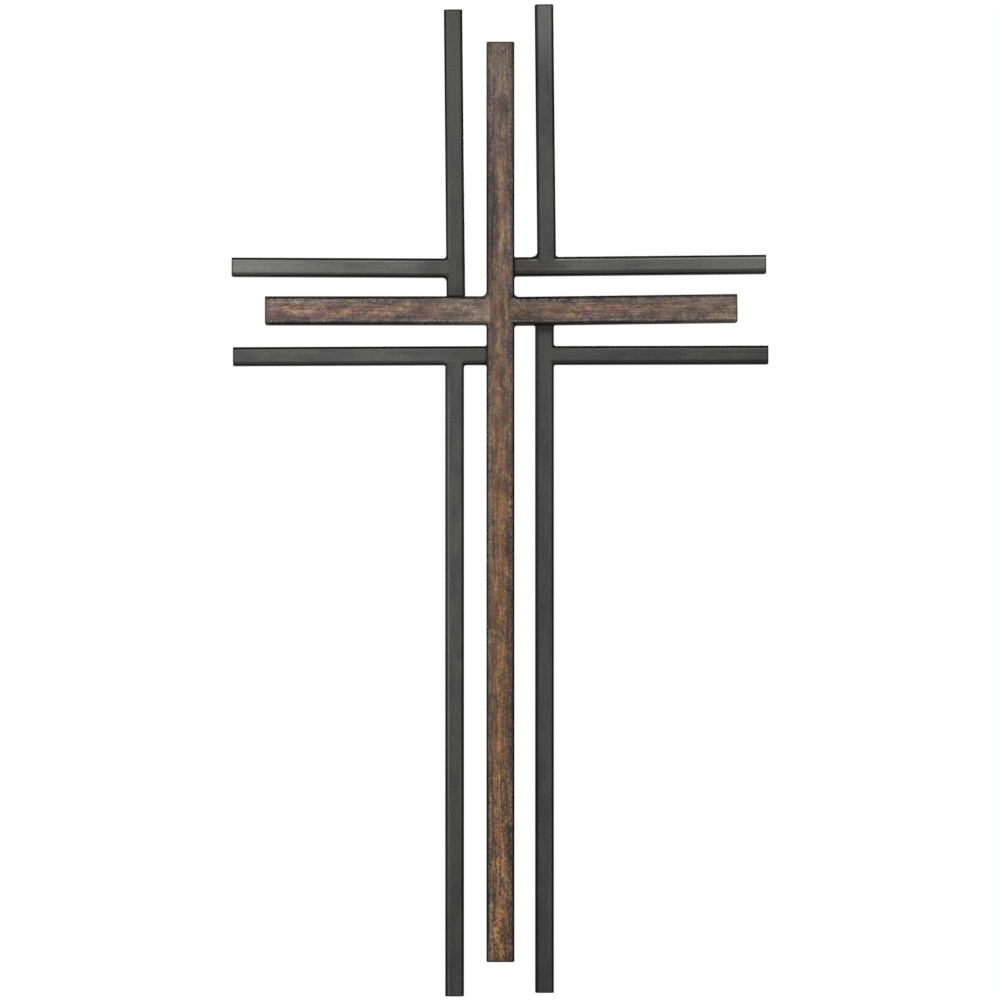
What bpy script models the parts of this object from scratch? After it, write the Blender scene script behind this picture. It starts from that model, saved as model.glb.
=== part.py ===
# Wall cross of welded square steel tube, at its real size in metres.
#
# A copper-coloured cross of wide tube stands in the middle. Eight dark bars of narrow
# tube run beside its limbs and are welded to it and to each other in a pinwheel.
# The cross hangs flat on a wall: the wall is the plane y = 0, the front faces -Y,
# +X is to the right of someone who looks at it, and +Z is up. The origin is on the
# back of the middle upright, on the web above the slot that the wall screw carries.

import math
from collections import namedtuple

import bmesh
import bpy
from mathutils import Vector

# Square tube stock
CROSS_TUBE = 0.01905            # three-quarter-inch tube of the copper-coloured cross
CROSS_WALL = 0.0015
CROSS_CORNER = 0.0026           # outside radius along the tube's corners
BORDER_TUBE = 0.0127            # half-inch tube of the dark bars
BORDER_WALL = 0.0012
BORDER_CORNER = 0.0020
CORNER_STEPS = 3                # flats around each corner
END_BREAK = 0.0005              # edge broken around a tube's closed end
SEAT_GAP = 0.0003               # air between a tube and the one it is welded to

# Middle cross, from the centre of its crossing
CROSS_TOP = 0.1821              # up to the top end
CROSS_FOOT = 0.4423             # down to the bottom end
CROSS_LEFT = 0.1598             # out to the left arm's end
CROSS_RIGHT = 0.1608            # out to the right arm's end
LEFT_ARM_RAISE = 0.0001         # the arm's centreline above the crossing, at the upright
RIGHT_ARM_RAISE = -0.0003

# Clear gap from the middle cross to each dark bar, where the bar starts
UPPER_LEFT_UPRIGHT_GAP = 0.0145
UPPER_RIGHT_UPRIGHT_GAP = 0.0157
LOWER_LEFT_UPRIGHT_GAP = 0.0154
LOWER_RIGHT_UPRIGHT_GAP = 0.0142
UPPER_LEFT_ARM_GAP = 0.0135
UPPER_RIGHT_ARM_GAP = 0.0144
LOWER_LEFT_ARM_GAP = 0.0144
LOWER_RIGHT_ARM_GAP = 0.0143

# How far each dark bar runs past the end of the limb beside it
UPPER_LEFT_UPRIGHT_PAST = 0.0230
UPPER_RIGHT_UPRIGHT_PAST = 0.0265
LOWER_LEFT_UPRIGHT_PAST = 0.0244
LOWER_RIGHT_UPRIGHT_PAST = 0.0220
UPPER_LEFT_ARM_PAST = 0.0232
UPPER_RIGHT_ARM_PAST = 0.0201
LOWER_LEFT_ARM_PAST = 0.0223
LOWER_RIGHT_ARM_PAST = 0.0216

# How far each tube was welded out of true, in degrees, anticlockwise from the front
LEFT_ARM_LEAN = 0.03
RIGHT_ARM_LEAN = 0.76
UPPER_LEFT_UPRIGHT_LEAN = 0.54
UPPER_RIGHT_UPRIGHT_LEAN = 0.59
UPPER_LEFT_ARM_LEAN = -0.24
UPPER_RIGHT_ARM_LEAN = 0.57
LOWER_LEFT_ARM_LEAN = 0.25
LOWER_RIGHT_ARM_LEAN = 0.13

# Weld fillets, as the length of a fillet's leg on the tube that ends there.
# Each pair is the tube's left side and its right side, looking out along it.
LEFT_ARM_WELD = (0.0009, 0.0028)
RIGHT_ARM_WELD = (0.0030, 0.0012)
UPPER_LEFT_UPRIGHT_WELD = (0.0008, 0.0012)
UPPER_RIGHT_UPRIGHT_WELD = (0.0034, 0.0012)
LOWER_LEFT_UPRIGHT_WELD = (0.0009, 0.0009)
LOWER_RIGHT_UPRIGHT_WELD = (0.0008, 0.0008)
UPPER_LEFT_ARM_WELD = (0.0022, 0.0018)
UPPER_RIGHT_ARM_WELD = (0.0009, 0.0012)
LOWER_LEFT_ARM_WELD = (0.0008, 0.0008)
LOWER_RIGHT_ARM_WELD = (0.0009, 0.0009)
WELD_STEPS = 4                  # flats along a fillet's hollow curve

# Keyhole in the back wall of the middle upright, for one wall screw
HANGER_DROP = 0.0500            # from the upright's top end down to the origin
HANGER_WEB = 0.0040             # from the origin down to the slot's upper end
SLOT_WIDTH = 0.0050             # passes the screw's shank
SLOT_RUN = 0.0100               # from the slot's upper end centre to the round hole's centre
HEAD_HOLE = 0.0095              # passes the screw's head
ARC_STEPS = 12                  # flats around half a turn of the keyhole
CUT_PAST = 0.0010               # how far the cutter runs past the wall on both sides

# Headings of the four limbs in the plane of the wall, in degrees from +X towards +Z
RIGHTWARD, UPWARD, LEFTWARD, DOWNWARD = 0.0, 90.0, 180.0, 270.0
LEFT_SIDE, RIGHT_SIDE = 1.0, -1.0

# Finishes: base colour (linear), metallic, roughness
COPPER_FINISH = ((0.175, 0.112, 0.078, 1.0), 0.75, 0.42)
GUNMETAL_FINISH = ((0.070, 0.070, 0.068, 1.0), 0.60, 0.45)

# Tube stock, and one tube of it: the line of its centre has a start (x, z), a heading and a length
Stock = namedtuple("Stock", "size wall corner")
Tube = namedtuple("Tube", "stock start heading length")
CROSS_STOCK = Stock(CROSS_TUBE, CROSS_WALL, CROSS_CORNER)
BORDER_STOCK = Stock(BORDER_TUBE, BORDER_WALL, BORDER_CORNER)


def direction(heading):
    """Unit vector (x, z) of a heading in the plane of the wall."""
    angle = math.radians(heading)
    return Vector((math.cos(angle), math.sin(angle)))


def side_direction(heading):
    """Unit vector (x, z) to the left of a heading, seen from the front."""
    return direction(heading + 90.0)


def side_of(tube, side):
    """Line (point, heading) of a tube's flat side, on its left or its right."""
    point = tube.start + side_direction(tube.heading) * (side * tube.stock.size / 2)
    return point, tube.heading


def distance_to(line, point, heading):
    """Distance from a point along a heading to a line."""
    line_point, line_heading = line
    run = direction(heading)
    line_run = direction(line_heading)
    return (line_point - point).cross(line_run) / run.cross(line_run)


def seated_line(seat, passes, heading, end):
    """Start, heading and length of a line that runs from its seat, through a point, to its end.

    The end is a height for an upright and a place along X for an arm.
    """
    run = direction(heading)
    start = passes + run * distance_to(seat, passes, heading)
    axis = 1 if abs(run.y) > abs(run.x) else 0
    return start, heading, (end - start[axis]) / run[axis]


def rounded_square(stock, inset=0.0):
    """Outline (across, depth) of a tube that lies with its back on the wall.

    An inset outline is moved inwards all around, as a tube's bore is by its wall.
    """
    half = stock.size / 2
    radius = max(stock.corner - inset, stock.corner / 8)
    reach = half - inset - radius
    outline = []
    for quarter in range(4):
        centre_angle = math.radians(45 + 90 * quarter)
        centre_x = math.copysign(reach, math.cos(centre_angle))
        centre_y = math.copysign(reach, math.sin(centre_angle)) + half
        for step in range(CORNER_STEPS + 1):
            angle = math.radians(90 * quarter + 90 * step / CORNER_STEPS)
            outline.append((centre_x + radius * math.cos(angle), centre_y + radius * math.sin(angle)))
    return outline


def fillet_rise(leg, distance):
    """How far a hollow weld fillet stands out from the tube, at a distance from its seat."""
    left = max(leg - distance, 0.0)
    return leg - math.sqrt(max(leg * leg - left * left, 0.0))


def skin(mesh, rings):
    """Close a body over rings of points: faces between neighbours, and a cap at both ends."""
    loops = [[mesh.verts.new(point) for point in ring] for ring in rings]
    count = len(loops[0])
    for first, second in zip(loops, loops[1:]):
        for index in range(count):
            after = (index + 1) % count
            mesh.faces.new((first[index], first[after], second[after], second[index]))
    mesh.faces.new(loops[0])
    mesh.faces.new(reversed(loops[-1]))
    bmesh.ops.recalc_face_normals(mesh, faces=mesh.faces)


def end_rings(tube, far_end, outward):
    """Two rings that break the edge of a closed end, from the side of the tube to its face."""
    shoulder = far_end - outward * END_BREAK
    return [
        [(shoulder, -depth, across) for across, depth in rounded_square(tube.stock)],
        [(far_end, -depth, across) for across, depth in rounded_square(tube.stock, END_BREAK)],
    ]


def tube_mesh(tube, seat, weld):
    """Tube that is open where it seats on its neighbour and closed at its far end.

    Locally X runs along the tube, Z across it and -Y out from the wall.
    """
    outside = rounded_square(tube.stock)
    bore = rounded_square(tube.stock, tube.stock.wall)

    def seated(across):
        point = tube.start + side_direction(tube.heading) * across
        return distance_to(seat, point, tube.heading) + SEAT_GAP

    rings = [
        [(tube.length - tube.stock.wall, -depth, across) for across, depth in bore],
        [(seated(across), -depth, across) for across, depth in bore],
    ]
    left_leg, right_leg = weld
    for step in range(WELD_STEPS + 1):
        share = (step / WELD_STEPS) ** 2
        ring = []
        for across, depth in outside:
            leg = left_leg if across > 0 else right_leg
            wide = across + math.copysign(fillet_rise(leg, share * leg), across)
            ring.append((seated(wide) + share * leg, -depth, wide))
        rings.append(ring)
    rings += end_rings(tube, tube.length, 1.0)
    mesh = bmesh.new()
    skin(mesh, rings)
    return mesh


def closed_bar_mesh(tube):
    """Bar of a tube's outside, with a broken edge at both of its ends."""
    mesh = bmesh.new()
    skin(mesh, end_rings(tube, 0.0, -1.0)[::-1] + end_rings(tube, tube.length, 1.0))
    return mesh


def bore_mesh(tube):
    """Bar of the room inside a tube whose two ends are closed by caps as thick as its wall."""
    bore = rounded_square(tube.stock, tube.stock.wall)
    mesh = bmesh.new()
    skin(mesh, [[(at, -depth, across) for across, depth in bore]
                for at in (tube.stock.wall, tube.length - tube.stock.wall)])
    return mesh


def keyhole_mesh():
    """Bar of a keyhole's outline. Its origin is the centre of the slot's round upper end."""
    slot_radius = SLOT_WIDTH / 2
    head_radius = HEAD_HOLE / 2
    mouth = math.degrees(math.asin(slot_radius / head_radius))
    outline = []
    for step in range(ARC_STEPS + 1):
        angle = math.radians(180 * step / ARC_STEPS)
        outline.append((slot_radius * math.cos(angle), slot_radius * math.sin(angle)))
    for step in range(2 * ARC_STEPS + 1):
        angle = math.radians(90 + mouth + (360 - 2 * mouth) * step / (2 * ARC_STEPS))
        outline.append((head_radius * math.cos(angle), head_radius * math.sin(angle) - SLOT_RUN))
    mesh = bmesh.new()
    skin(mesh, [[(x, y, z) for x, z in outline] for y in (CUT_PAST, -(CROSS_WALL + CUT_PAST))])
    return mesh


def finish_material(name, finish):
    """Painted metal of one colour."""
    colour, metallic, roughness = finish
    material = bpy.data.materials.new(name)
    material.use_nodes = True
    shader = material.node_tree.nodes["Principled BSDF"]
    shader.inputs["Base Color"].default_value = colour
    shader.inputs["Metallic"].default_value = metallic
    shader.inputs["Roughness"].default_value = roughness
    material.diffuse_color = colour
    return material


def add_object(name, mesh, parent, material=None):
    """Object from a bmesh, shaded smooth around its corners, under a parent."""
    data = bpy.data.meshes.new(name)
    mesh.to_mesh(data)
    mesh.free()
    data.shade_smooth()
    data.set_sharp_from_angle(angle=math.radians(40))
    thing = bpy.data.objects.new(name, data)
    bpy.context.scene.collection.objects.link(thing)
    thing.parent = parent
    if material:
        data.materials.append(material)
    return thing


def lay(thing, tube):
    """Put an object on the line of its tube."""
    thing.location = (tube.start.x, 0.0, tube.start.y)
    thing.rotation_euler = (0.0, -math.radians(tube.heading), 0.0)


def cut(thing, cutter):
    """Take a cutter's room out of an object."""
    cutter.hide_render = True
    cutter.display_type = "WIRE"
    modifier = thing.modifiers.new(cutter.name, "BOOLEAN")
    modifier.operation = "DIFFERENCE"
    modifier.object = cutter


def beside_cross(gap):
    """Distance from the middle cross's centreline to a dark bar's."""
    return CROSS_TUBE / 2 + gap + BORDER_TUBE / 2


def build_upright(crossing, material):
    """Middle upright: one tube, closed at both ends, with the keyhole in its back wall."""
    upright = Tube(CROSS_STOCK, Vector((0.0, -CROSS_FOOT)), UPWARD, CROSS_TOP + CROSS_FOOT)
    upright_object = add_object("copper_upright", closed_bar_mesh(upright), crossing, material)
    lay(upright_object, upright)
    bore = add_object("upright_bore", bore_mesh(upright), crossing)
    lay(bore, upright)
    cut(upright_object, bore)
    keyhole = add_object("keyhole", keyhole_mesh(), crossing)
    keyhole.location = (0.0, 0.0, CROSS_TOP - HANGER_DROP - HANGER_WEB - SLOT_WIDTH / 2)
    cut(upright_object, keyhole)
    return upright


def build_cross():
    for thing in list(bpy.data.objects):
        bpy.data.objects.remove(thing, do_unlink=True)

    finishes = {
        CROSS_STOCK: finish_material("antiqued_copper", COPPER_FINISH),
        BORDER_STOCK: finish_material("gunmetal_paint", GUNMETAL_FINISH),
    }

    # The empty stands at the crossing's centre, below the origin
    crossing = bpy.data.objects.new("crossing", None)
    bpy.context.scene.collection.objects.link(crossing)
    crossing.location = (0.0, 0.0, HANGER_DROP - CROSS_TOP)

    def weld_on(name, stock, weld, seat, passes, heading, end):
        """Tube from its seat, through a point, to a far coordinate, as an object of its own."""
        tube = Tube(stock, *seated_line(seat, Vector(passes), heading, end))
        lay(add_object(name, tube_mesh(tube, seat, weld), crossing, finishes[stock]), tube)
        return tube

    upright = build_upright(crossing, finishes[CROSS_STOCK])
    upright_left = side_of(upright, LEFT_SIDE)
    upright_right = side_of(upright, RIGHT_SIDE)

    left_arm = weld_on(
        "copper_left_arm", CROSS_STOCK, LEFT_ARM_WELD,
        seat=upright_left,
        passes=(-CROSS_TUBE / 2, LEFT_ARM_RAISE),
        heading=LEFTWARD + LEFT_ARM_LEAN,
        end=-CROSS_LEFT)
    right_arm = weld_on(
        "copper_right_arm", CROSS_STOCK, RIGHT_ARM_WELD,
        seat=upright_right,
        passes=(CROSS_TUBE / 2, RIGHT_ARM_RAISE),
        heading=RIGHTWARD + RIGHT_ARM_LEAN,
        end=CROSS_RIGHT)

    # Dark bars that are welded to the copper cross
    upper_left_upright = weld_on(
        "upper_left_upright", BORDER_STOCK, UPPER_LEFT_UPRIGHT_WELD,
        seat=side_of(left_arm, RIGHT_SIDE),
        passes=(-beside_cross(UPPER_LEFT_UPRIGHT_GAP), CROSS_TUBE / 2),
        heading=UPWARD + UPPER_LEFT_UPRIGHT_LEAN,
        end=CROSS_TOP + UPPER_LEFT_UPRIGHT_PAST)
    lower_right_upright = weld_on(
        "lower_right_upright", BORDER_STOCK, LOWER_RIGHT_UPRIGHT_WELD,
        seat=side_of(right_arm, RIGHT_SIDE),
        passes=(beside_cross(LOWER_RIGHT_UPRIGHT_GAP), -CROSS_TUBE / 2),
        heading=DOWNWARD,
        end=-(CROSS_FOOT + LOWER_RIGHT_UPRIGHT_PAST))
    upper_right_arm = weld_on(
        "upper_right_arm", BORDER_STOCK, UPPER_RIGHT_ARM_WELD,
        seat=upright_right,
        passes=(CROSS_TUBE / 2, beside_cross(UPPER_RIGHT_ARM_GAP)),
        heading=RIGHTWARD + UPPER_RIGHT_ARM_LEAN,
        end=CROSS_RIGHT + UPPER_RIGHT_ARM_PAST)
    lower_left_arm = weld_on(
        "lower_left_arm", BORDER_STOCK, LOWER_LEFT_ARM_WELD,
        seat=upright_left,
        passes=(-CROSS_TUBE / 2, -beside_cross(LOWER_LEFT_ARM_GAP)),
        heading=LEFTWARD + LOWER_LEFT_ARM_LEAN,
        end=-(CROSS_LEFT + LOWER_LEFT_ARM_PAST))

    # Dark bars that are welded to those bars
    weld_on(
        "upper_left_arm", BORDER_STOCK, UPPER_LEFT_ARM_WELD,
        seat=side_of(upper_left_upright, LEFT_SIDE),
        passes=(-beside_cross(UPPER_LEFT_UPRIGHT_GAP), beside_cross(UPPER_LEFT_ARM_GAP)),
        heading=LEFTWARD + UPPER_LEFT_ARM_LEAN,
        end=-(CROSS_LEFT + UPPER_LEFT_ARM_PAST))
    weld_on(
        "lower_right_arm", BORDER_STOCK, LOWER_RIGHT_ARM_WELD,
        seat=side_of(lower_right_upright, LEFT_SIDE),
        passes=(beside_cross(LOWER_RIGHT_UPRIGHT_GAP), -beside_cross(LOWER_RIGHT_ARM_GAP)),
        heading=RIGHTWARD + LOWER_RIGHT_ARM_LEAN,
        end=CROSS_RIGHT + LOWER_RIGHT_ARM_PAST)
    weld_on(
        "upper_right_upright", BORDER_STOCK, UPPER_RIGHT_UPRIGHT_WELD,
        seat=side_of(upper_right_arm, LEFT_SIDE),
        passes=(beside_cross(UPPER_RIGHT_UPRIGHT_GAP), beside_cross(UPPER_RIGHT_ARM_GAP)),
        heading=UPWARD + UPPER_RIGHT_UPRIGHT_LEAN,
        end=CROSS_TOP + UPPER_RIGHT_UPRIGHT_PAST)
    weld_on(
        "lower_left_upright", BORDER_STOCK, LOWER_LEFT_UPRIGHT_WELD,
        seat=side_of(lower_left_arm, LEFT_SIDE),
        passes=(-beside_cross(LOWER_LEFT_UPRIGHT_GAP), -beside_cross(LOWER_LEFT_ARM_GAP)),
        heading=DOWNWARD,
        end=-(CROSS_FOOT + LOWER_LEFT_UPRIGHT_PAST))


build_cross()
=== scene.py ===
# %% [markdown]
# A wall cross welded from square steel tube
#
# The real object is eleven lengths of square tube, cut, laid face down on a bench, welded
# in the corners, ground flush at the front and then finished by hand. The frame gives the
# tubes at their real size. This lesson dresses them: rounded corners, closed ends, weld
# fillets, a satin gunmetal paint and a mottled copper finish.

# %% The frame and its box
import math
from collections import namedtuple

import bmesh
import bpy
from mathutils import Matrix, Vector


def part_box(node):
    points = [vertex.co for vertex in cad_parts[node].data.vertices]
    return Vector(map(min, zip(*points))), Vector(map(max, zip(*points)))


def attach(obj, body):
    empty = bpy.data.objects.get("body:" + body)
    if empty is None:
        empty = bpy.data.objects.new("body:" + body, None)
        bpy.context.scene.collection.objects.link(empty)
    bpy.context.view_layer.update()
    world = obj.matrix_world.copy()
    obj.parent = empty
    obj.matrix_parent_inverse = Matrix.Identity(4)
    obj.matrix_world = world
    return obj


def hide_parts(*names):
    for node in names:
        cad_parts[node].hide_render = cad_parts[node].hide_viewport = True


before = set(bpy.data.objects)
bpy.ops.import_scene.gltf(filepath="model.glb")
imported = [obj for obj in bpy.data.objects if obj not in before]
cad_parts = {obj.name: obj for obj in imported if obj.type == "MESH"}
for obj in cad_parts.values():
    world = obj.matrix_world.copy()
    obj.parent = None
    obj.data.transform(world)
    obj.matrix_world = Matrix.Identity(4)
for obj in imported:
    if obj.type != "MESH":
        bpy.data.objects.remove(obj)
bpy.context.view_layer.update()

MM = 0.001

# %% [markdown]
# The camera comes first, because every choice after it is seen through it. The photo
# was taken square on, from far enough away that the tubes hardly taper, so a long lens
# straight in front is right. A shorter lens would show more of the arms' undersides.
# The width of the half-inch tubes in the picture gives the scale, and the picture's
# centre falls on the upright, well below the crossing.

# %% Camera
PICTURE_WIDTH = 1000 * 0.68 * MM        # width of the picture in the plane of the dark bars' faces
CAMERA_DISTANCE = 1.9                   # from that plane
FACE_PLANE = -14.0 * MM
PICTURE_CENTRE_X = -0.3 * MM
CROSSING_BELOW_ORIGIN = 132.1 * MM
PICTURE_CENTRE_BELOW_CROSSING = 128.8 * MM
SENSOR = 36.0

camera_data = bpy.data.cameras.new("camera")
camera_data.sensor_width = SENSOR
camera_data.lens = SENSOR * CAMERA_DISTANCE / PICTURE_WIDTH
camera = bpy.data.objects.new("camera", camera_data)
camera.location = (PICTURE_CENTRE_X, FACE_PLANE - CAMERA_DISTANCE,
                   -CROSSING_BELOW_ORIGIN - PICTURE_CENTRE_BELOW_CROSSING)
camera.rotation_euler = (math.radians(90), 0.0, 0.0)
bpy.context.scene.collection.objects.link(camera)
bpy.context.scene.camera = camera
print("lens:", round(camera_data.lens, 1), "mm")

# %% [markdown]
# A hung piece has no ground of its own, but a studio does: a pale floor well below it,
# and white all around behind it. The picture's background is paper white while the tubes'
# sides are nearly black, which says that white was seen only behind the object and never
# lit its sides. So what the eye sees of the surroundings is white, and what lights the
# metal is dim. A wide soft lamp in front draws the faces. Two small ones at the sides draw
# a thin line along the tubes' corners, and a last one behind the wall's plane keeps the
# hidden side readable in the other views.

# %% Floor, surroundings and lamps
FLOOR_BELOW = 1.4
FLOOR_SIZE = 4.0
SURROUND_LIGHT = 0.14
PAPER_WHITE = 1.0
# Name, place, width, power
LAMPS = (
    ("front_softbox", (-0.3, -3.4, -0.3), 3.4, 78.0),
    ("left_softbox", (-2.7, -1.6, -0.1), 0.7, 26.0),
    ("right_softbox", (2.7, -1.6, -0.1), 0.7, 14.0),
    ("back_softbox", (0.7, 2.6, 0.9), 1.4, 45.0),
)


def srgb(code):
    """Linear colour of an sRGB hex value."""
    channels = [int(code[start:start + 2], 16) / 255 for start in (1, 3, 5)]
    linear = [c / 12.92 if c <= 0.04045 else ((c + 0.055) / 1.055) ** 2.4 for c in channels]
    return (*linear, 1.0)


def add_node(tree, kind, settings=None, inputs=None):
    """Node of a kind, with its settings and its inputs: values, hex colours or nodes' outputs."""
    node = tree.nodes.new(kind)
    for name, value in (settings or {}).items():
        setattr(node, name, value)
    for name, value in (inputs or {}).items():
        if isinstance(value, bpy.types.NodeSocket):
            tree.links.new(value, node.inputs[name])
        else:
            node.inputs[name].default_value = srgb(value) if isinstance(value, str) else value
    return node


floor_mesh = bpy.data.meshes.new("studio_floor")
half_floor = FLOOR_SIZE / 2
floor_mesh.from_pydata(
    [(-half_floor, -half_floor, 0), (half_floor, -half_floor, 0),
     (half_floor, half_floor, 0), (-half_floor, half_floor, 0)], [], [(0, 1, 2, 3)])
floor = bpy.data.objects.new("studio_floor", floor_mesh)
floor.location = (0.0, 0.0, -FLOOR_BELOW)
bpy.context.scene.collection.objects.link(floor)
floor_material = bpy.data.materials.new("pale_floor_paint")
floor_material.use_nodes = True
floor_material.node_tree.nodes["Principled BSDF"].inputs["Base Color"].default_value = srgb("#e9e9e7")
floor_material.node_tree.nodes["Principled BSDF"].inputs["Roughness"].default_value = 0.8
floor_mesh.materials.append(floor_material)

world = bpy.data.worlds.new("studio")
bpy.context.scene.world = world
world.use_nodes = True
sky = world.node_tree
sky.nodes.clear()
seen = add_node(sky, "ShaderNodeBackground", inputs={"Color": "#ffffff", "Strength": PAPER_WHITE})
lit_by = add_node(sky, "ShaderNodeBackground", inputs={"Color": "#ffffff", "Strength": SURROUND_LIGHT})
ray = add_node(sky, "ShaderNodeLightPath")
choice = add_node(sky, "ShaderNodeMixShader", inputs={
    0: ray.outputs["Is Camera Ray"], 1: lit_by.outputs["Background"], 2: seen.outputs["Background"]})
add_node(sky, "ShaderNodeOutputWorld", inputs={"Surface": choice.outputs["Shader"]})

for name, place, width, power in LAMPS:
    lamp_data = bpy.data.lights.new(name, "AREA")
    lamp_data.size = width
    lamp_data.energy = power
    lamp = bpy.data.objects.new(name, lamp_data)
    lamp.location = place
    aim = Vector((0.0, 0.0, camera.location.z)) - Vector(place)
    lamp.rotation_euler = aim.to_track_quat("-Z", "Y").to_euler()
    bpy.context.scene.collection.objects.link(lamp)

bpy.context.scene.view_settings.view_transform = "Standard"
print("floor", FLOOR_BELOW, "m below the hanger,", len(LAMPS), "soft lamps")

# %% [markdown]
# Each tube could be a cube with a bevel, but a tube has more to it: it ends square and
# closed on one side, and swells into weld metal on the other. So each one is skinned over
# rings of points, like ribs in a hull. The frame's own tube says where it lies: its far
# cap gives the centre of its line, and its depth is its size, because the stock is square.

# %% The tubes' lines, read from the frame
# Node, heading in degrees from +X towards +Z, the weld's leg in mm on the tube's left and
# right side looking out along it, and the finish of the tube that it ends on.
WELDED_TUBES = (
    ("copper_left_arm", 180.03, (0.9, 2.8), "copper"),
    ("copper_right_arm", 0.76, (3.0, 1.2), "copper"),
    ("upper_left_upright", 90.54, (0.8, 1.2), "copper"),
    ("upper_left_arm", 179.76, (2.2, 1.8), "gunmetal"),
    ("upper_right_upright", 90.59, (3.4, 1.2), "gunmetal"),
    ("upper_right_arm", 0.57, (0.9, 1.2), "copper"),
    ("lower_left_upright", 270.0, (0.9, 0.9), "gunmetal"),
    ("lower_left_arm", 180.25, (0.8, 0.8), "copper"),
    ("lower_right_upright", 270.0, (0.8, 0.8), "copper"),
    ("lower_right_arm", 0.13, (0.9, 0.9), "gunmetal"),
)
UPRIGHT_HEADING = 90.0
HEADINGS = {row[0]: row[1] for row in WELDED_TUBES}
HEADINGS["copper_upright"] = UPRIGHT_HEADING
CAP_DEPTH = 0.2 * MM                    # vertices this near to the far end belong to its cap


def outward(heading):
    """Unit vector of a heading in the plane of the wall."""
    angle = math.radians(heading)
    return Vector((math.cos(angle), 0.0, math.sin(angle)))


def tube_line(node):
    """Start, length and size of the frame's tube of that name."""
    run = outward(HEADINGS[node])
    points = [vertex.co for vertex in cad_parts[node].data.vertices]
    reaches = [point.dot(run) for point in points]
    far, near = max(reaches), min(reaches)
    cap = [point for point, reach in zip(points, reaches) if reach > far - CAP_DEPTH]
    cap_centre = sum(cap, Vector()) / len(cap)
    size = -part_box(node)[0][1]
    start = cap_centre - run * (far - near)
    return Vector((start.x, 0.0, start.z)), far - near, size


for node in HEADINGS:
    _, length, size = tube_line(node)
    print(f"{node}: {size / MM:.1f} mm tube, {length / MM:.1f} mm long")

# %% [markdown]
# Drawn steel tube has softly rounded corners, about one and a half wall thicknesses. A
# ring of its outline needs enough points on each corner for a clean highlight, and some on
# each flat too, where the weld's ripples run.

# %% Outline of a tube
COPPER_CORNER = 2.6 * MM
GUNMETAL_CORNER = 2.0 * MM
CORNER_STEPS = 8
FLAT_STEPS = 20


def tube_outline(size, corner, inset=0.0):
    """Points (across, depth) around a tube that lies with its back on the wall."""
    half = size / 2
    radius = max(corner - inset, corner / 8)
    reach = half - inset - radius
    points = []
    for quarter in range(4):
        middle = math.radians(45 + 90 * quarter)
        centre = (math.copysign(reach, math.cos(middle)), math.copysign(reach, math.sin(middle)) + half)
        for step in range(CORNER_STEPS + 1):
            angle = math.radians(90 * quarter + 90 * step / CORNER_STEPS)
            points.append((centre[0] + radius * math.cos(angle), centre[1] + radius * math.sin(angle)))
        turn = math.radians(90 * (quarter + 1))
        for step in range(1, FLAT_STEPS):
            slide = 2 * reach * step / FLAT_STEPS
            points.append((points[-step][0] - math.sin(turn) * slide,
                           points[-step][1] + math.cos(turn) * slide))
    return points


print(len(tube_outline(12.7 * MM, GUNMETAL_CORNER)), "points to a ring")

# %% [markdown]
# The welder ran a short bead down each inner corner, and the paint filled it into a smooth
# hollow. So near its seat a tube grows sideways along a quarter circle, with faint ripples
# left by the bead. Where two tubes are equally deep the joint was ground flush: the tube
# runs on over its neighbour's rounded corner until it meets the flat, and no seam shows.

# %% Skin of a welded tube
SEAT_GAP = 0.3 * MM                     # air that the frame leaves at every seat
SINK = 0.3 * MM                         # how far a tube reaches into the neighbour it is fused to
FRONT_WELD = 0.7 * MM                   # leg of the bead across the front of a recessed joint
WELD_RINGS = 9
RIPPLE_PITCH = 1.3 * MM
RIPPLE_HEIGHT = 0.07 * MM
CREASE = math.radians(50)               # faces that meet at more than this keep a sharp edge
END_RADIUS = 0.3 * MM                   # edge around a ground cap
END_RINGS = 4


def skin(mesh, rings):
    """Close a body over rings of points, with a cap at both ends."""
    loops = [[mesh.verts.new(point) for point in ring] for ring in rings]
    count = len(loops[0])
    for first, second in zip(loops, loops[1:]):
        for index in range(count):
            after = (index + 1) % count
            mesh.faces.new((first[index], first[after], second[after], second[index]))
    mesh.faces.new(loops[0])
    mesh.faces.new(reversed(loops[-1]))
    bmesh.ops.recalc_face_normals(mesh, faces=mesh.faces)


def fillet_rise(leg, distance):
    """How far a hollow fillet stands out, at a distance from its seat."""
    left = max(leg - distance, 0.0)
    return leg - math.sqrt(leg * leg - left * left)


def end_rings(size, corner, far, direction):
    """Rings that round the edge of a closed end, from the tube's side to its cap."""
    rings = []
    for step in range(END_RINGS + 1):
        angle = math.radians(90 * step / END_RINGS)
        inset = END_RADIUS * (1 - math.cos(angle))
        along = far - direction * END_RADIUS * (1 - math.sin(angle))
        rings.append([(along, -depth, across) for across, depth in tube_outline(size, corner, inset)])
    return rings


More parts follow.
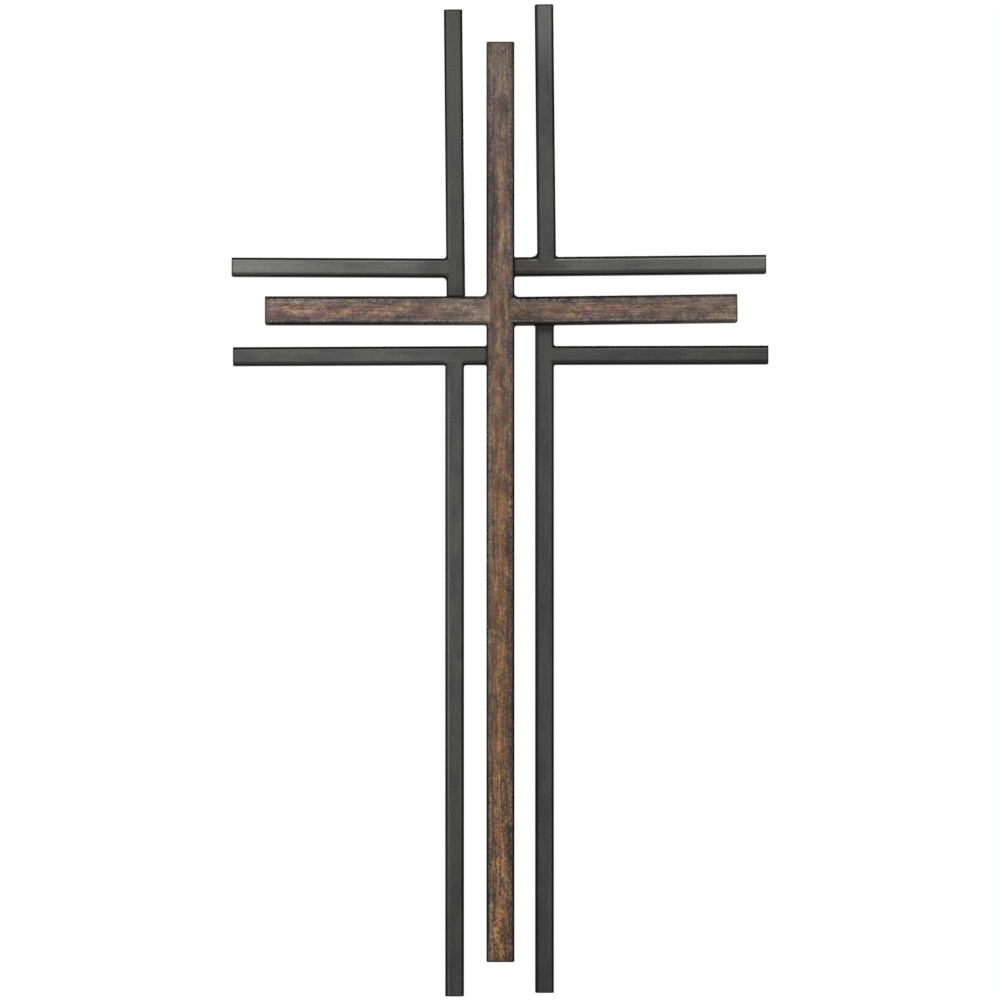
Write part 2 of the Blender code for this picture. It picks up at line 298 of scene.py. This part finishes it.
def welded_tube_mesh(length, size, corner, legs, dive, front_leg):
    """Tube along local X, from inside its neighbour, over its weld, to its closed end."""
    outline = tube_outline(size, corner)
    left_leg, right_leg = legs
    rings = []
    for step in range(WELD_RINGS + 1):
        share = (step / WELD_RINGS) ** 2
        ring = []
        for across, depth in outline:
            lean = 2 * across / size
            leg = (left_leg * (1 + lean) + right_leg * (1 - lean)) / 2
            swell = 4 * share * (1 - share)
            ripple = RIPPLE_HEIGHT * math.sin(math.tau * depth / RIPPLE_PITCH) * swell
            wide = across + lean * (fillet_rise(leg, share * leg) - ripple)
            front = max(depth - size + corner, 0.0) / corner
            lift = front * fillet_rise(front_leg, share * leg)
            ring.append((share * leg, -depth - lift, wide))
        rings.append(ring)
    sunk_ring = [(-dive, depth, across) for _, depth, across in rings[0]]
    mesh = bmesh.new()
    skin(mesh, [sunk_ring] + rings + end_rings(size, corner, length, 1.0))
    return mesh


def closed_bar_mesh(length, size, corner):
    """Bar along local X that is closed at both ends."""
    mesh = bmesh.new()
    skin(mesh, end_rings(size, corner, 0.0, -1.0)[::-1] + end_rings(size, corner, length, 1.0))
    return mesh


def put(name, mesh, start, heading):
    """Object from a bmesh, with its X along a heading in the plane of the wall."""
    data = bpy.data.meshes.new(name)
    mesh.to_mesh(data)
    mesh.free()
    data.shade_smooth()
    data.set_sharp_from_angle(angle=CREASE)
    piece = bpy.data.objects.new(name, data)
    piece.location = start
    piece.rotation_euler = (0.0, -math.radians(heading), 0.0)
    bpy.context.scene.collection.objects.link(piece)
    return piece


tubes = {}
for node, heading, legs, neighbour in WELDED_TUBES:
    start, length, size = tube_line(node)
    is_copper = node.startswith("copper")
    corner = COPPER_CORNER if is_copper else GUNMETAL_CORNER
    flush = is_copper or neighbour == "gunmetal"
    dive = SEAT_GAP + (corner if flush else SINK)
    front_leg = 0.0 if flush else FRONT_WELD
    legs = [leg * MM for leg in legs]
    mesh = welded_tube_mesh(length, size, corner, legs, dive, front_leg)
    tubes[node] = put(node + "_tube", mesh, start, heading)
print(len(tubes), "welded tubes,", sum(len(tube.data.polygons) for tube in tubes.values()), "faces")

# %% [markdown]
# The middle upright carries the rest. It is one tube from top to foot, and its back wall
# has a keyhole: the wall screw's head goes in at the round hole, and the cross drops until
# the narrow slot sits on the shank. A Boolean with one cutter for the bore and one for the
# keyhole leaves a true wall with true edges, which a painted dark patch would not.

# %% Middle upright and its keyhole
COPPER_WALL = 1.5 * MM
HANGER_WEB = 4.0 * MM
SLOT_WIDTH = 5.0 * MM
SLOT_RUN = 10.0 * MM
HEAD_HOLE = 9.5 * MM
KEYHOLE_STEPS = 24
CUT_PAST = 1.0 * MM


def keyhole_mesh():
    """Bar of the keyhole's outline, with its origin at the centre of the slot's round end."""
    slot_radius, head_radius = SLOT_WIDTH / 2, HEAD_HOLE / 2
    mouth = math.degrees(math.asin(slot_radius / head_radius))
    outline = []
    for step in range(KEYHOLE_STEPS + 1):
        angle = math.radians(180 * step / KEYHOLE_STEPS)
        outline.append((slot_radius * math.cos(angle), slot_radius * math.sin(angle)))
    for step in range(2 * KEYHOLE_STEPS + 1):
        angle = math.radians(90 + mouth + (360 - 2 * mouth) * step / (2 * KEYHOLE_STEPS))
        outline.append((head_radius * math.cos(angle), head_radius * math.sin(angle) - SLOT_RUN))
    mesh = bmesh.new()
    skin(mesh, [[(x, y, z) for x, z in outline] for y in (CUT_PAST, -COPPER_WALL - CUT_PAST)])
    return mesh


def take_away(piece, cutters):
    """Cut the room of each cutter out of a piece, and keep only the result."""
    for cutter in cutters:
        modifier = piece.modifiers.new(cutter.name, "BOOLEAN")
        modifier.operation = "DIFFERENCE"
        modifier.object = cutter
    bpy.context.view_layer.update()
    cut_piece = piece.evaluated_get(bpy.context.evaluated_depsgraph_get())
    result = bpy.data.meshes.new_from_object(cut_piece)
    piece.modifiers.clear()
    old = piece.data
    piece.data = result
    bpy.data.meshes.remove(old)
    for cutter in cutters:
        bpy.data.objects.remove(cutter, do_unlink=True)


start, length, size = tube_line("copper_upright")
upright = put("copper_upright_tube", closed_bar_mesh(length, size, COPPER_CORNER), start, UPRIGHT_HEADING)
bore_mesh = bmesh.new()
skin(bore_mesh, [[(along, -depth, across) for across, depth in tube_outline(size, COPPER_CORNER, COPPER_WALL)]
                 for along in (COPPER_WALL, length - COPPER_WALL)])
bore = put("bore_cutter", bore_mesh, start, UPRIGHT_HEADING)
keyhole = put("keyhole_cutter", keyhole_mesh(), (0.0, 0.0, -HANGER_WEB - SLOT_WIDTH / 2), 0.0)
take_away(upright, [bore, keyhole])
upright.data.set_sharp_from_angle(angle=CREASE)
tubes["copper_upright"] = upright
print("upright:", len(upright.data.polygons), "faces")

# %% [markdown]
# Both finishes are drawn by the same few means: noise that drifts at a real size along and
# across the tube, and masks from the tube's own shape, such as how far a point lies from the
# middle, from a joint or from an end. Each tube lies along its own X, with its front at -Y
# and its left side, looking out along it, at +Z. Noise hovers around a half, so the two
# values that a mask takes from it set how much of the surface a colour covers, and how soft
# its borders are.

# %% Patterns and masks at real size
FACES = (0.28, 0.40)                    # shares of the size out from its middle, to front and back
CAP_SKIN = (0.02 * MM, 0.12 * MM)       # what lies this near to an end is its cap
RIM_FULL = 0.4 * MM                     # a rim around an end is darkest up to here
LINE_BORDER = 0.4 * MM                  # soft border of a line along a corner
FAR_AWAY = -1.0                         # place of a joint or crossing on a tube that has none


def place_on_tube(tree):
    """Node whose outputs are the place along the tube, in its depth and across it."""
    source = add_node(tree, "ShaderNodeTexCoord")
    return add_node(tree, "ShaderNodeSeparateXYZ", inputs={0: source.outputs["Object"]})


def pattern(tree, along, across, shift, detail, rough=0.55):
    """Noise from 0 to 1 that drifts at a real size along and across the tube."""
    source = add_node(tree, "ShaderNodeTexCoord")
    where = add_node(tree, "ShaderNodeMapping", inputs={
        "Vector": source.outputs["Object"], "Location": (shift, shift * 0.7, shift * 1.3),
        "Scale": (1 / along, 1 / across, 1 / across)})
    drifting = add_node(tree, "ShaderNodeTexNoise", inputs={
        "Vector": where.outputs["Vector"], "Scale": 1.0, "Detail": detail, "Roughness": rough})
    return drifting.outputs["Fac"]


def combined(tree, operation, parts):
    """Result of an operation on parts in turn: numbers, nodes' outputs or soft ranges.

    A soft range is a value, two ends of it, and what it gives at each end, or else 0 and 1.
    """
    result = None
    for part in parts:
        if isinstance(part, tuple):
            ends = dict(enumerate(part))
            part = add_node(tree, "ShaderNodeMapRange", {"interpolation_type": "SMOOTHSTEP"}, ends).outputs[0]
        if result is None:
            result = part
        else:
            step = add_node(tree, "ShaderNodeMath", {"operation": operation}, {0: result, 1: part})
            result = step.outputs[0]
    return result


def product(tree, *parts):
    """Product of parts, such as the soft ranges that bound a mask and its strength."""
    return combined(tree, "MULTIPLY", parts)


def total(tree, *parts):
    """Sum of parts."""
    return combined(tree, "ADD", parts)


def distance_from(tree, value, origin):
    """How far a value lies from a number, on either side of it."""
    offset = total(tree, value, -origin)
    return add_node(tree, "ShaderNodeMath", {"operation": "ABSOLUTE"}, {0: offset}).outputs[0]


def band(value, size, low, high, most=1.0):
    """Soft range that rises to its most between two distances, each a share of the tube's size."""
    return value, size * low, size * high, 0.0, most


def near_corner(tree, place, size):
    """Mask of the front and back faces and their corners, which leaves the side faces out."""
    return product(tree, band(distance_from(tree, place.outputs["Y"], -size / 2), size, *FACES))


def end_rim(tree, place, end, direction, reach, most):
    """Mask of a rim around a closed end, which leaves the cap itself out."""
    inwards = product(tree, total(tree, place.outputs["X"], -end), -direction)
    return product(tree, (inwards, RIM_FULL, reach, 1.0, 0.0), (inwards, *CAP_SKIN), most)


def corner_line(tree, value, size, low, high):
    """Mask of the thin line where a tube's flat turns into its corner, between two distances."""
    return product(tree, (value, size * low - LINE_BORDER, size * low),
                   (value, size * high, size * high + LINE_BORDER, 1.0, 0.0))


print("front and back faces from", FACES[0], "of a tube's size out from its middle")

# %% [markdown]
# A finish is built up as it is by hand: a base colour, then coats, each laid where its mask
# lets it. A colour ramp over one noise would be quicker, but then every colour would follow
# the same borders. The grain goes in as a bump with a real depth, because it is far too fine
# to be worth points in the mesh.

# %% Coats, and the surface that they make
def coated(tree, base, *coats):
    """Colour of a base under coats, each with its mask, its colour and, if it tints, MULTIPLY."""
    colour = base
    for where, over, *mode in coats:
        settings = {"data_type": "RGBA", "blend_type": mode[0] if mode else "MIX"}
        mixed = add_node(tree, "ShaderNodeMix", settings, {0: product(tree, where), 6: colour, 7: over})
        colour = mixed.outputs[2]
    return colour


def new_finish(name, metallic):
    """Material with a Principled shader, and its tree and shader to build on."""
    material = bpy.data.materials.new(name)
    material.use_nodes = True
    shader = material.node_tree.nodes["Principled BSDF"]
    shader.inputs["Metallic"].default_value = metallic
    return material, material.node_tree, shader


def finish_surface(tree, shader, colour, roughness, height, depth):
    """Link a colour, a roughness and a bump of a real depth into the shader."""
    bump = add_node(tree, "ShaderNodeBump", inputs={"Strength": 1.0, "Distance": depth, "Height": height})
    tree.links.new(colour, shader.inputs["Base Color"])
    tree.links.new(roughness, shader.inputs["Roughness"])
    tree.links.new(bump.outputs["Normal"], shader.inputs["Normal"])


print("coats can lie over a base as they are, or tint it with MULTIPLY")

# %% [markdown]
# The dark bars are mild steel under a gunmetal paint: a satin coat with fine metal flake,
# sprayed by hand. That gives the eye a soft sheen, faint clouds where the coat is thicker,
# a hint of the tube's draw lines under it, and a very fine grain. The flake makes it part
# metal, so the metallic value is between paint and bare steel. Each bar takes its own tone,
# lighter on the upper bars and darker on the lower ones: painted light from above, over
# some tone of the bar's own. Where two bars are ground flush, no corner shows.

# %% Satin gunmetal paint on mild steel
GUNMETAL = "#4b4b4a"
GUNMETAL_LIT_END = "#666665"               # painted light on the outer ends
GUNMETAL_DEEP = "#3a3a3a"
GLINT = "#8a8a88"                       # painted highlight where a flat turns into its corner
WELD_SHADE = "#17110f"                        # painted shade near the welds, deepest below the prouder copper cross
EDGE_SHADE = "#161616"                  # painted shade along the corners and around the end
GUNMETAL_METALLIC = 0.75
GUNMETAL_ROUGHNESS = (0.36, 0.46)       # from a cloud's edge to its middle
CLOUD_LENGTH = 30.0 * MM
CLOUD_WIDTH = 10.0 * MM
DRAW_LINE_LENGTH = 90.0 * MM
DRAW_LINE_WIDTH = 0.9 * MM
DRAW_LINE_TONES = (0.90, 1.10)
FLAKE_SIZE = 1.1 * MM                   # real flake is finer: this is as fine as the render shows
FLAKE_TONES = (0.86, 1.14)
GRAIN_SIZE = 0.35 * MM
GRAIN_DEPTH = 0.02 * MM
END_SHADE_LENGTH = 1.4 * MM              # how far in from the end the painted shade reaches
END_SHADE = 0.85
PAST_WELD = 20.0 * MM                   # from here on the corner's glint shows in full

# From where to where, as shares of the bar's size out from its middle, and how strong
# Painted shade along the corners, wider on each bar's dark side, and a painted glint
DARK_BORDER = 0.07                      # soft border of a bar's dark side
DARK_SHADE = 0.72
DARK_CORNER = (0.42, 0.48, 0.2)
LIT_CORNER = (0.35, 0.42, 0.80)
GLINT_LINE = (0.295, 0.33)
GLINT_TONES = (0.10, 0.42)
JOINT = (0.42, 0.60)
LEFT_HALF = (0.0, 0.1)

# One bar's paint: its tone at its start and at its end (partly painted light, lighter on the upper
# bars), how long its brighter outer end is and how much brighter (painted light), how dark the
# painted shade near its weld is and how far it reaches, how far from the bar's middle its dark
# side begins, as a share of its size (more than 0 on the left looking out along it, less than 0
# on the right), and how strong its glint is.
Paint = namedtuple("Paint", "start_tone end_tone bright_length bright scorch scorch_length shade glint")
PAINTS = {
    "upper_left_upright": Paint(0.73, 0.74, 170 * MM, 0.6, 0.2, 12 * MM, -0.33, 0.35),
    "upper_left_arm": Paint(1.32, 1.32, 90 * MM, 0.58, 0.28, 26 * MM, 0.26, 0.6),
    "upper_right_upright": Paint(0.80, 0.95, 60 * MM, 1.0, 0.15, 10 * MM, 0.31, 0.3),
    "upper_right_arm": Paint(1.20, 1.20, 75 * MM, 0.6, 0.45, 45 * MM, -0.21, 1.6),
    "lower_left_upright": Paint(0.82, 0.58, 200 * MM, 0.0, 0.0, 10 * MM, 0.36, 0.8),
    "lower_left_arm": Paint(1.02, 1.02, 90 * MM, 0.0, 0.33, 36 * MM, 0.25, 0.2),
    "lower_right_upright": Paint(0.61, 0.53, 200 * MM, 0.0, 0.8, 8 * MM, -0.28, 0.3),
    "lower_right_arm": Paint(0.72, 0.76, 90 * MM, 0.1, 0.1, 10 * MM, -0.22, 0.9),
}
# Each of these bars has another welded flush to its left side, looking out along it
CARRIED = {
    "upper_left_upright": "upper_left_arm",
    "upper_right_arm": "upper_right_upright",
    "lower_left_arm": "lower_left_upright",
    "lower_right_upright": "lower_right_arm",
}
print(len(PAINTS), "bars to paint,", len(CARRIED), "of them with a bar welded to their left side")

# %% [markdown]
# The bars share one paint, but each needs a material of its own, since its tones, painted
# light among them, change along its own length. So one function makes the paint for any bar.
# Its coats follow the real one, sprayed in clouds, and add painted shade near the weld and in
# the corners, and a painted highlight where a flat turns into its corner.

# %% One bar's coat of gunmetal paint
def gunmetal_paint(name, length, size, paint, joined_at, shift):
    """Satin gunmetal paint for one bar. No corner shows on its left where a bar is welded to it."""
    material, tree, shader = new_finish(name, GUNMETAL_METALLIC)
    clouds = pattern(tree, CLOUD_LENGTH, CLOUD_WIDTH, shift, 5.0, 0.65)
    lines = pattern(tree, DRAW_LINE_LENGTH, DRAW_LINE_WIDTH, shift + 3.1, 2.0)
    flake = pattern(tree, FLAKE_SIZE, FLAKE_SIZE, shift + 7.7, 1.0)
    grain = pattern(tree, GRAIN_SIZE, GRAIN_SIZE, shift + 9.3, 2.0)
    place = place_on_tube(tree)
    along, left = place.outputs["X"], place.outputs["Z"]

    # Painted shade along both corners, from further in on the dark side
    dark_side = product(tree, left, math.copysign(1.0, paint.shade))
    lit_side = product(tree, dark_side, -1.0)
    dark_from = abs(paint.shade)
    edges = total(tree, band(dark_side, size, dark_from, dark_from + DARK_BORDER, DARK_SHADE),
                  band(lit_side, size, *LIT_CORNER), band(dark_side, size, *DARK_CORNER))
    joint_half, joint_past = (size * share for share in JOINT)
    fused = product(tree, (distance_from(tree, along, joined_at), joint_half, joint_past, 1.0, 0.0),
                    band(left, size, *LEFT_HALF))
    corner_shows = total(tree, 1.0, product(tree, fused, -1.0))
    edges = product(tree, edges, near_corner(tree, place, size), corner_shows)

    # A broken glint where the lit side turns into its corner
    low_glint, high_glint = (tone * paint.glint for tone in GLINT_TONES)
    glint = product(tree, corner_line(tree, lit_side, size, *GLINT_LINE),
                    (lines, 0.40, 0.60, low_glint, high_glint), corner_shows,
                    (along, PAST_WELD / 4, PAST_WELD))

    # Draw lines, flake and the bar's tone, which is partly painted light from above
    tone = product(tree, (lines, 0.3, 0.7, *DRAW_LINE_TONES), (flake, 0.25, 0.75, *FLAKE_TONES),
                   (along, 0.0, length, paint.start_tone, paint.end_tone))

    # A coat in clouds, painted light at the outer end, painted shade near the weld and around the closed end
    colour = coated(
        tree, GUNMETAL_DEEP,
        ((clouds, 0.36, 0.64), GUNMETAL),
        ((along, length - paint.bright_length, length, 0.0, paint.bright), GUNMETAL_LIT_END),
        ((along, paint.scorch_length / 3, paint.scorch_length, paint.scorch, 0.0), WELD_SHADE),
        (end_rim(tree, place, length, 1.0, END_SHADE_LENGTH, END_SHADE), EDGE_SHADE),
        (edges, EDGE_SHADE),
        (glint, GLINT),
        (1.0, tone, "MULTIPLY"))
    roughness = product(tree, (clouds, 0.3, 0.7, *GUNMETAL_ROUGHNESS))
    finish_surface(tree, shader, colour, roughness, total(tree, grain, lines), GRAIN_DEPTH)
    return material


for index, (node, paint) in enumerate(PAINTS.items()):
    start, length, size = tube_line(node)
    joined_at = FAR_AWAY
    if node in CARRIED:
        carried_start = tube_line(CARRIED[node])[0]
        joined_at = (carried_start - start).dot(outward(HEADINGS[node]))
    tubes[node].data.materials.append(
        gunmetal_paint("gunmetal_paint_" + node, length, size, paint, joined_at, 10.0 * index))
print(len(PAINTS), "bars painted")

# %% [markdown]
# The middle cross is the same steel under an antiqued copper finish: a copper and bronze
# metal paint, brushed on along the tube, then a dark wash wiped off while wet. The wash
# stays in the brush lines and at the rounded corners, which painted shade darkens further.
# The tube grows darker towards its foot, and the colour drifts between copper, old gold,
# plum and grey. Four drifting patterns give the colours, two fine ones the brush lines and
# dabs, and the tube's own shape tells where the wash and the painted shade go.

# %% Antiqued copper on mild steel
BRONZE = "#665750"
COPPER = "#7a5b4e"
OLD_GOLD = "#7a6a50"
UMBER = "#52423d"
PLUM = "#604749"
PEWTER = "#504c4a"
DUSK = "#54504f"                        # the wash greys every colour towards the corners
AMBER = "#ffeac2"                       # tint of a thicker, warmer coat
WORN = "#7b6e63"
# Rubbed places, and the painted highlight along the corners
PALE = "#9c8d7e"
# Dark wash, also the colour of painted shade along corners, undersides and ends
WASH_AND_SHADE = "#1c1310"
RUST = "#2f1e16"                        # wash over bare copper colour, in the gaps of the brush lines
COPPER_METALLIC = 0.70
COPPER_ROUGHNESS = (0.40, 0.54)         # between the dabs and on them
PATCH_LENGTH = 15.0 * MM
PATCH_WIDTH = 6.0 * MM
PATCH_TONES = (1.40, 0.62)              # outside the grey patches and in them
PATCH_DRIFT = 2.5                       # how far patches move the sides' border, times the size
BRUSH_LENGTH = 26.0 * MM
BRUSH_WIDTH = 0.9 * MM
BRUSH_TONES = (0.75, 1.25)
BRUSH_DEPTH = 0.05 * MM
DAB_LENGTH = 1.5 * MM
DAB_WIDTH = 1.15 * MM
DAB_TONES = (-0.55, 0.57)
RAGGED = 10.0 * MM                      # how far the dabs move the borders of the wash
SWUNG_WASH = (1.2, 0.34)                # swing at which the one-sided wash is full, and its strength
WORN_SHARE = 0.8
RUBBED_SHARE = 0.5
GLINT_SHARE = 0.25
BARE_BORDER = 1.5 * MM
BARE_SHARE = 0.75
END_RIM_SHADE = (1.2 * MM, 0.8)              # painted shade around the far end: how far in from it, and how strong
FOOT_DARKENING = (9.0 * MM, 0.42)            # wash that ran down and stayed near the foot
FOOT_RIM_LENGTH = 1.6 * MM

# From where to where, as shares of the tube's size out from its middle, and how strong
CROSSING = (0.42, 0.62)                 # half of the crossing, and where it is past
SIDES = (0.16, 0.42)
DUSK_SIDES = (0.14, 0.48, 0.85)
COPPER_GLINT_LINE = (0.36, 0.385)
# Wash in the corners, deepened with painted shade, and painted shade along the underside
RAGGED_WASH_AND_SHADE = (0.46, 0.55, 0.6)
CORNER_WASH_AND_SHADE = (0.415, 0.465, 0.8)
UNDERSIDE_SHADE = (0.40, 0.48, 0.8)

# One tube's coat: the pattern's shift, its tone, where it grows brighter and by how much, how
# open its brush lines are there, where it is worn grey, between which places the amber tint
# goes from which strength to which, the wash's centre and tilt, the sign of the side in the
# shade, the length of the bare tip and how dark the painted shade at the rim of its foot is.
Coat = namedtuple("Coat", "shift tone bright gaps worn amber wash shaded bare_tip foot_rim")
COATS = {
    "copper_upright": Coat(
        shift=0.0, tone=0.81, bright=(200 * MM, 50 * MM, 1.38), gaps=0.75, worn=(520 * MM, 610 * MM),
        amber=(500 * MM, 260 * MM, 0.0, 1.0), wash=(380 * MM, 1600.0), shaded=0.0,
        bare_tip=0.0, foot_rim=0.85),
    "copper_left_arm": Coat(
        shift=70.0, tone=0.75, bright=(30 * MM, 110 * MM, 1.78), gaps=0.35, worn=(60 * MM, -10 * MM),
        amber=(0.0, 100 * MM, 0.0, 0.0), wash=(50 * MM, 2000.0), shaded=1.0,
        bare_tip=3.8 * MM, foot_rim=0.0),
    "copper_right_arm": Coat(
        shift=140.0, tone=0.66, bright=(20 * MM, 60 * MM, 1.45), gaps=0.2, worn=(60 * MM, 180 * MM),
        amber=(0.0, 100 * MM, 0.0, 0.0), wash=(30 * MM, 1200.0), shaded=-1.0,
        bare_tip=0.0, foot_rim=0.0),
}
print("copper in patches of", round(PATCH_LENGTH / MM, 1), "by", round(PATCH_WIDTH / MM, 1), "mm")

# %% [markdown]
# The metal colours come first, a warm mix for the middle of a tube and a darker one for its
# sides. Then each step of the handwork follows in turn, with painted shade and a painted
# glint among them: tint, brushed tone, wash and painted shade, worn and rubbed places, the
# glint, and last the ends. The order matters, because a later coat covers what lies under it,
# as it did on the bench.

# %% One tube's antiqued copper
def antiqued_copper(name, length, size, coat, crossed_at):
    """Copper finish for one tube, with its own coat. Its sides aren't darker where arms cross it."""
    material, tree, shader = new_finish(name, COPPER_METALLIC)
    place = place_on_tube(tree)
    along, across = place.outputs["X"], place.outputs["Z"]
    brush = pattern(tree, BRUSH_LENGTH, BRUSH_WIDTH, coat.shift + 21.0, 1.0, 0.5)
    dabs = pattern(tree, DAB_LENGTH, DAB_WIDTH, coat.shift + 33.0, 2.0, 0.6)
    coppery, golden, plummy, grey = [
        pattern(tree, PATCH_LENGTH, PATCH_WIDTH, coat.shift + offset, 5.0, 0.65)
        for offset in (1.7, 4.9, 8.3, 12.1)]

    # How far a point is from the middle: as it is, with ragged dabs, and drifting in patches
    drift = product(tree, total(tree, plummy, -0.5), PATCH_DRIFT * size)
    ragged = product(tree, total(tree, dabs, -0.5), RAGGED)
    crossing_half, crossing_past = (size * share for share in CROSSING)
    flat_side = product(tree, distance_from(tree, across, 0.0),
                        (distance_from(tree, along, crossed_at), crossing_half, crossing_past, 0.5, 1.0))
    side = total(tree, flat_side, ragged)
    zone = total(tree, side, drift)

    # Tone: brush lines, crisp dabs, patches, and the stretch where the tube grows brighter
    bright_from, bright_to, gain = coat.bright
    crisp = product(tree, (golden, 0.42, 0.56, 0.45, 1.0))
    dabbed = product(tree, (dabs, 0.28, 0.72, *DAB_TONES), crisp)
    tone = product(tree, (brush, 0.25, 0.75, *BRUSH_TONES), total(tree, dabbed, 1.0),
                   (grey, 0.3, 0.7, *PATCH_TONES),
                   (along, bright_from, bright_to, coat.tone, coat.tone * gain))
    gaps = product(tree, (product(tree, brush, dabs), 0.18, 0.26, coat.gaps, 0.0),
                   (along, bright_from, bright_to))

    # Dark wash on one side, wash deepened by painted shade in the corners, painted shade on the shaded side
    wash_centre, tilt = coat.wash
    full_swing, most = SWUNG_WASH
    swing = product(tree, total(tree, along, -wash_centre), tilt)
    lean = product(tree, swing, total(tree, across, ragged))
    corners = near_corner(tree, place, size)
    under = product(tree, across, coat.shaded)
    washes_and_shade = [((lean, 0.0, full_swing, 0.0, most), WASH_AND_SHADE)]
    for value, edge in ((side, RAGGED_WASH_AND_SHADE), (flat_side, CORNER_WASH_AND_SHADE), (under, UNDERSIDE_SHADE)):
        washes_and_shade.append((product(tree, band(value, size, *edge), corners), WASH_AND_SHADE))

    # Worn grey over a stretch, rubbed streaks, a painted highlight along the corners, the bare tip, and
    # painted shade and darkening at the ends
    worn = (total(tree, along, drift), *coat.worn, 0.0, WORN_SHARE)
    rubbed = product(tree, (brush, 0.48, 0.62), (dabs, 0.54, 0.68), RUBBED_SHARE)
    glint = product(tree, corner_line(tree, flat_side, size, *COPPER_GLINT_LINE),
                    (dabs, 0.42, 0.62, 0.0, GLINT_SHARE))
    ends = []
    if coat.bare_tip:
        bare_from = length - coat.bare_tip
        ends.append(((along, bare_from, bare_from + BARE_BORDER, 0.0, BARE_SHARE), PEWTER))
    ends.append((end_rim(tree, place, length, 1.0, *END_RIM_SHADE), WASH_AND_SHADE))
    if coat.foot_rim:
        for reach, strength in (FOOT_DARKENING, (FOOT_RIM_LENGTH, coat.foot_rim)):
            ends.append((end_rim(tree, place, 0.0, -1.0, reach, strength), WASH_AND_SHADE))

    # Colours: warm in the middle, darker along the sides
    middle = coated(tree, BRONZE, ((coppery, 0.42, 0.54), COPPER), ((golden, 0.50, 0.58, 0.0, 0.8), OLD_GOLD))
    sides = coated(tree, UMBER, ((plummy, 0.50, 0.60), PLUM), ((grey, 0.50, 0.60, 0.0, 0.8), PEWTER))
    colour = coated(
        tree, middle,
        (band(zone, size, *SIDES), sides),
        (band(flat_side, size, *DUSK_SIDES), DUSK),
        ((along, *coat.amber), AMBER, "MULTIPLY"),
        (1.0, tone, "MULTIPLY"),
        (gaps, RUST),
        *washes_and_shade,
        (worn, coated(tree, WORN, (1.0, tone, "MULTIPLY"))),
        (rubbed, PALE),
        (glint, PALE),
        *ends)
    roughness = product(tree, (dabs, 0.3, 0.7, *COPPER_ROUGHNESS))
    finish_surface(tree, shader, colour, roughness, brush, BRUSH_DEPTH)
    return material


upright.data.materials.clear()
for node, coat in COATS.items():
    start, length, size = tube_line(node)
    crossed_at = -CROSSING_BELOW_ORIGIN - start.z if node == "copper_upright" else FAR_AWAY
    tubes[node].data.materials.append(antiqued_copper("antiqued_" + node, length, size, coat, crossed_at))
print("copper finish on the upright and its two arms")

# %% [markdown]
# Nothing moves on a welded cross, so every piece rides on the one body, and each fine tube
# stands for the frame's plain one.

# %% Riding on the frame
for node, tube in tubes.items():
    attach(tube, "root")
    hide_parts(node)

print("pieces:", len(tubes))
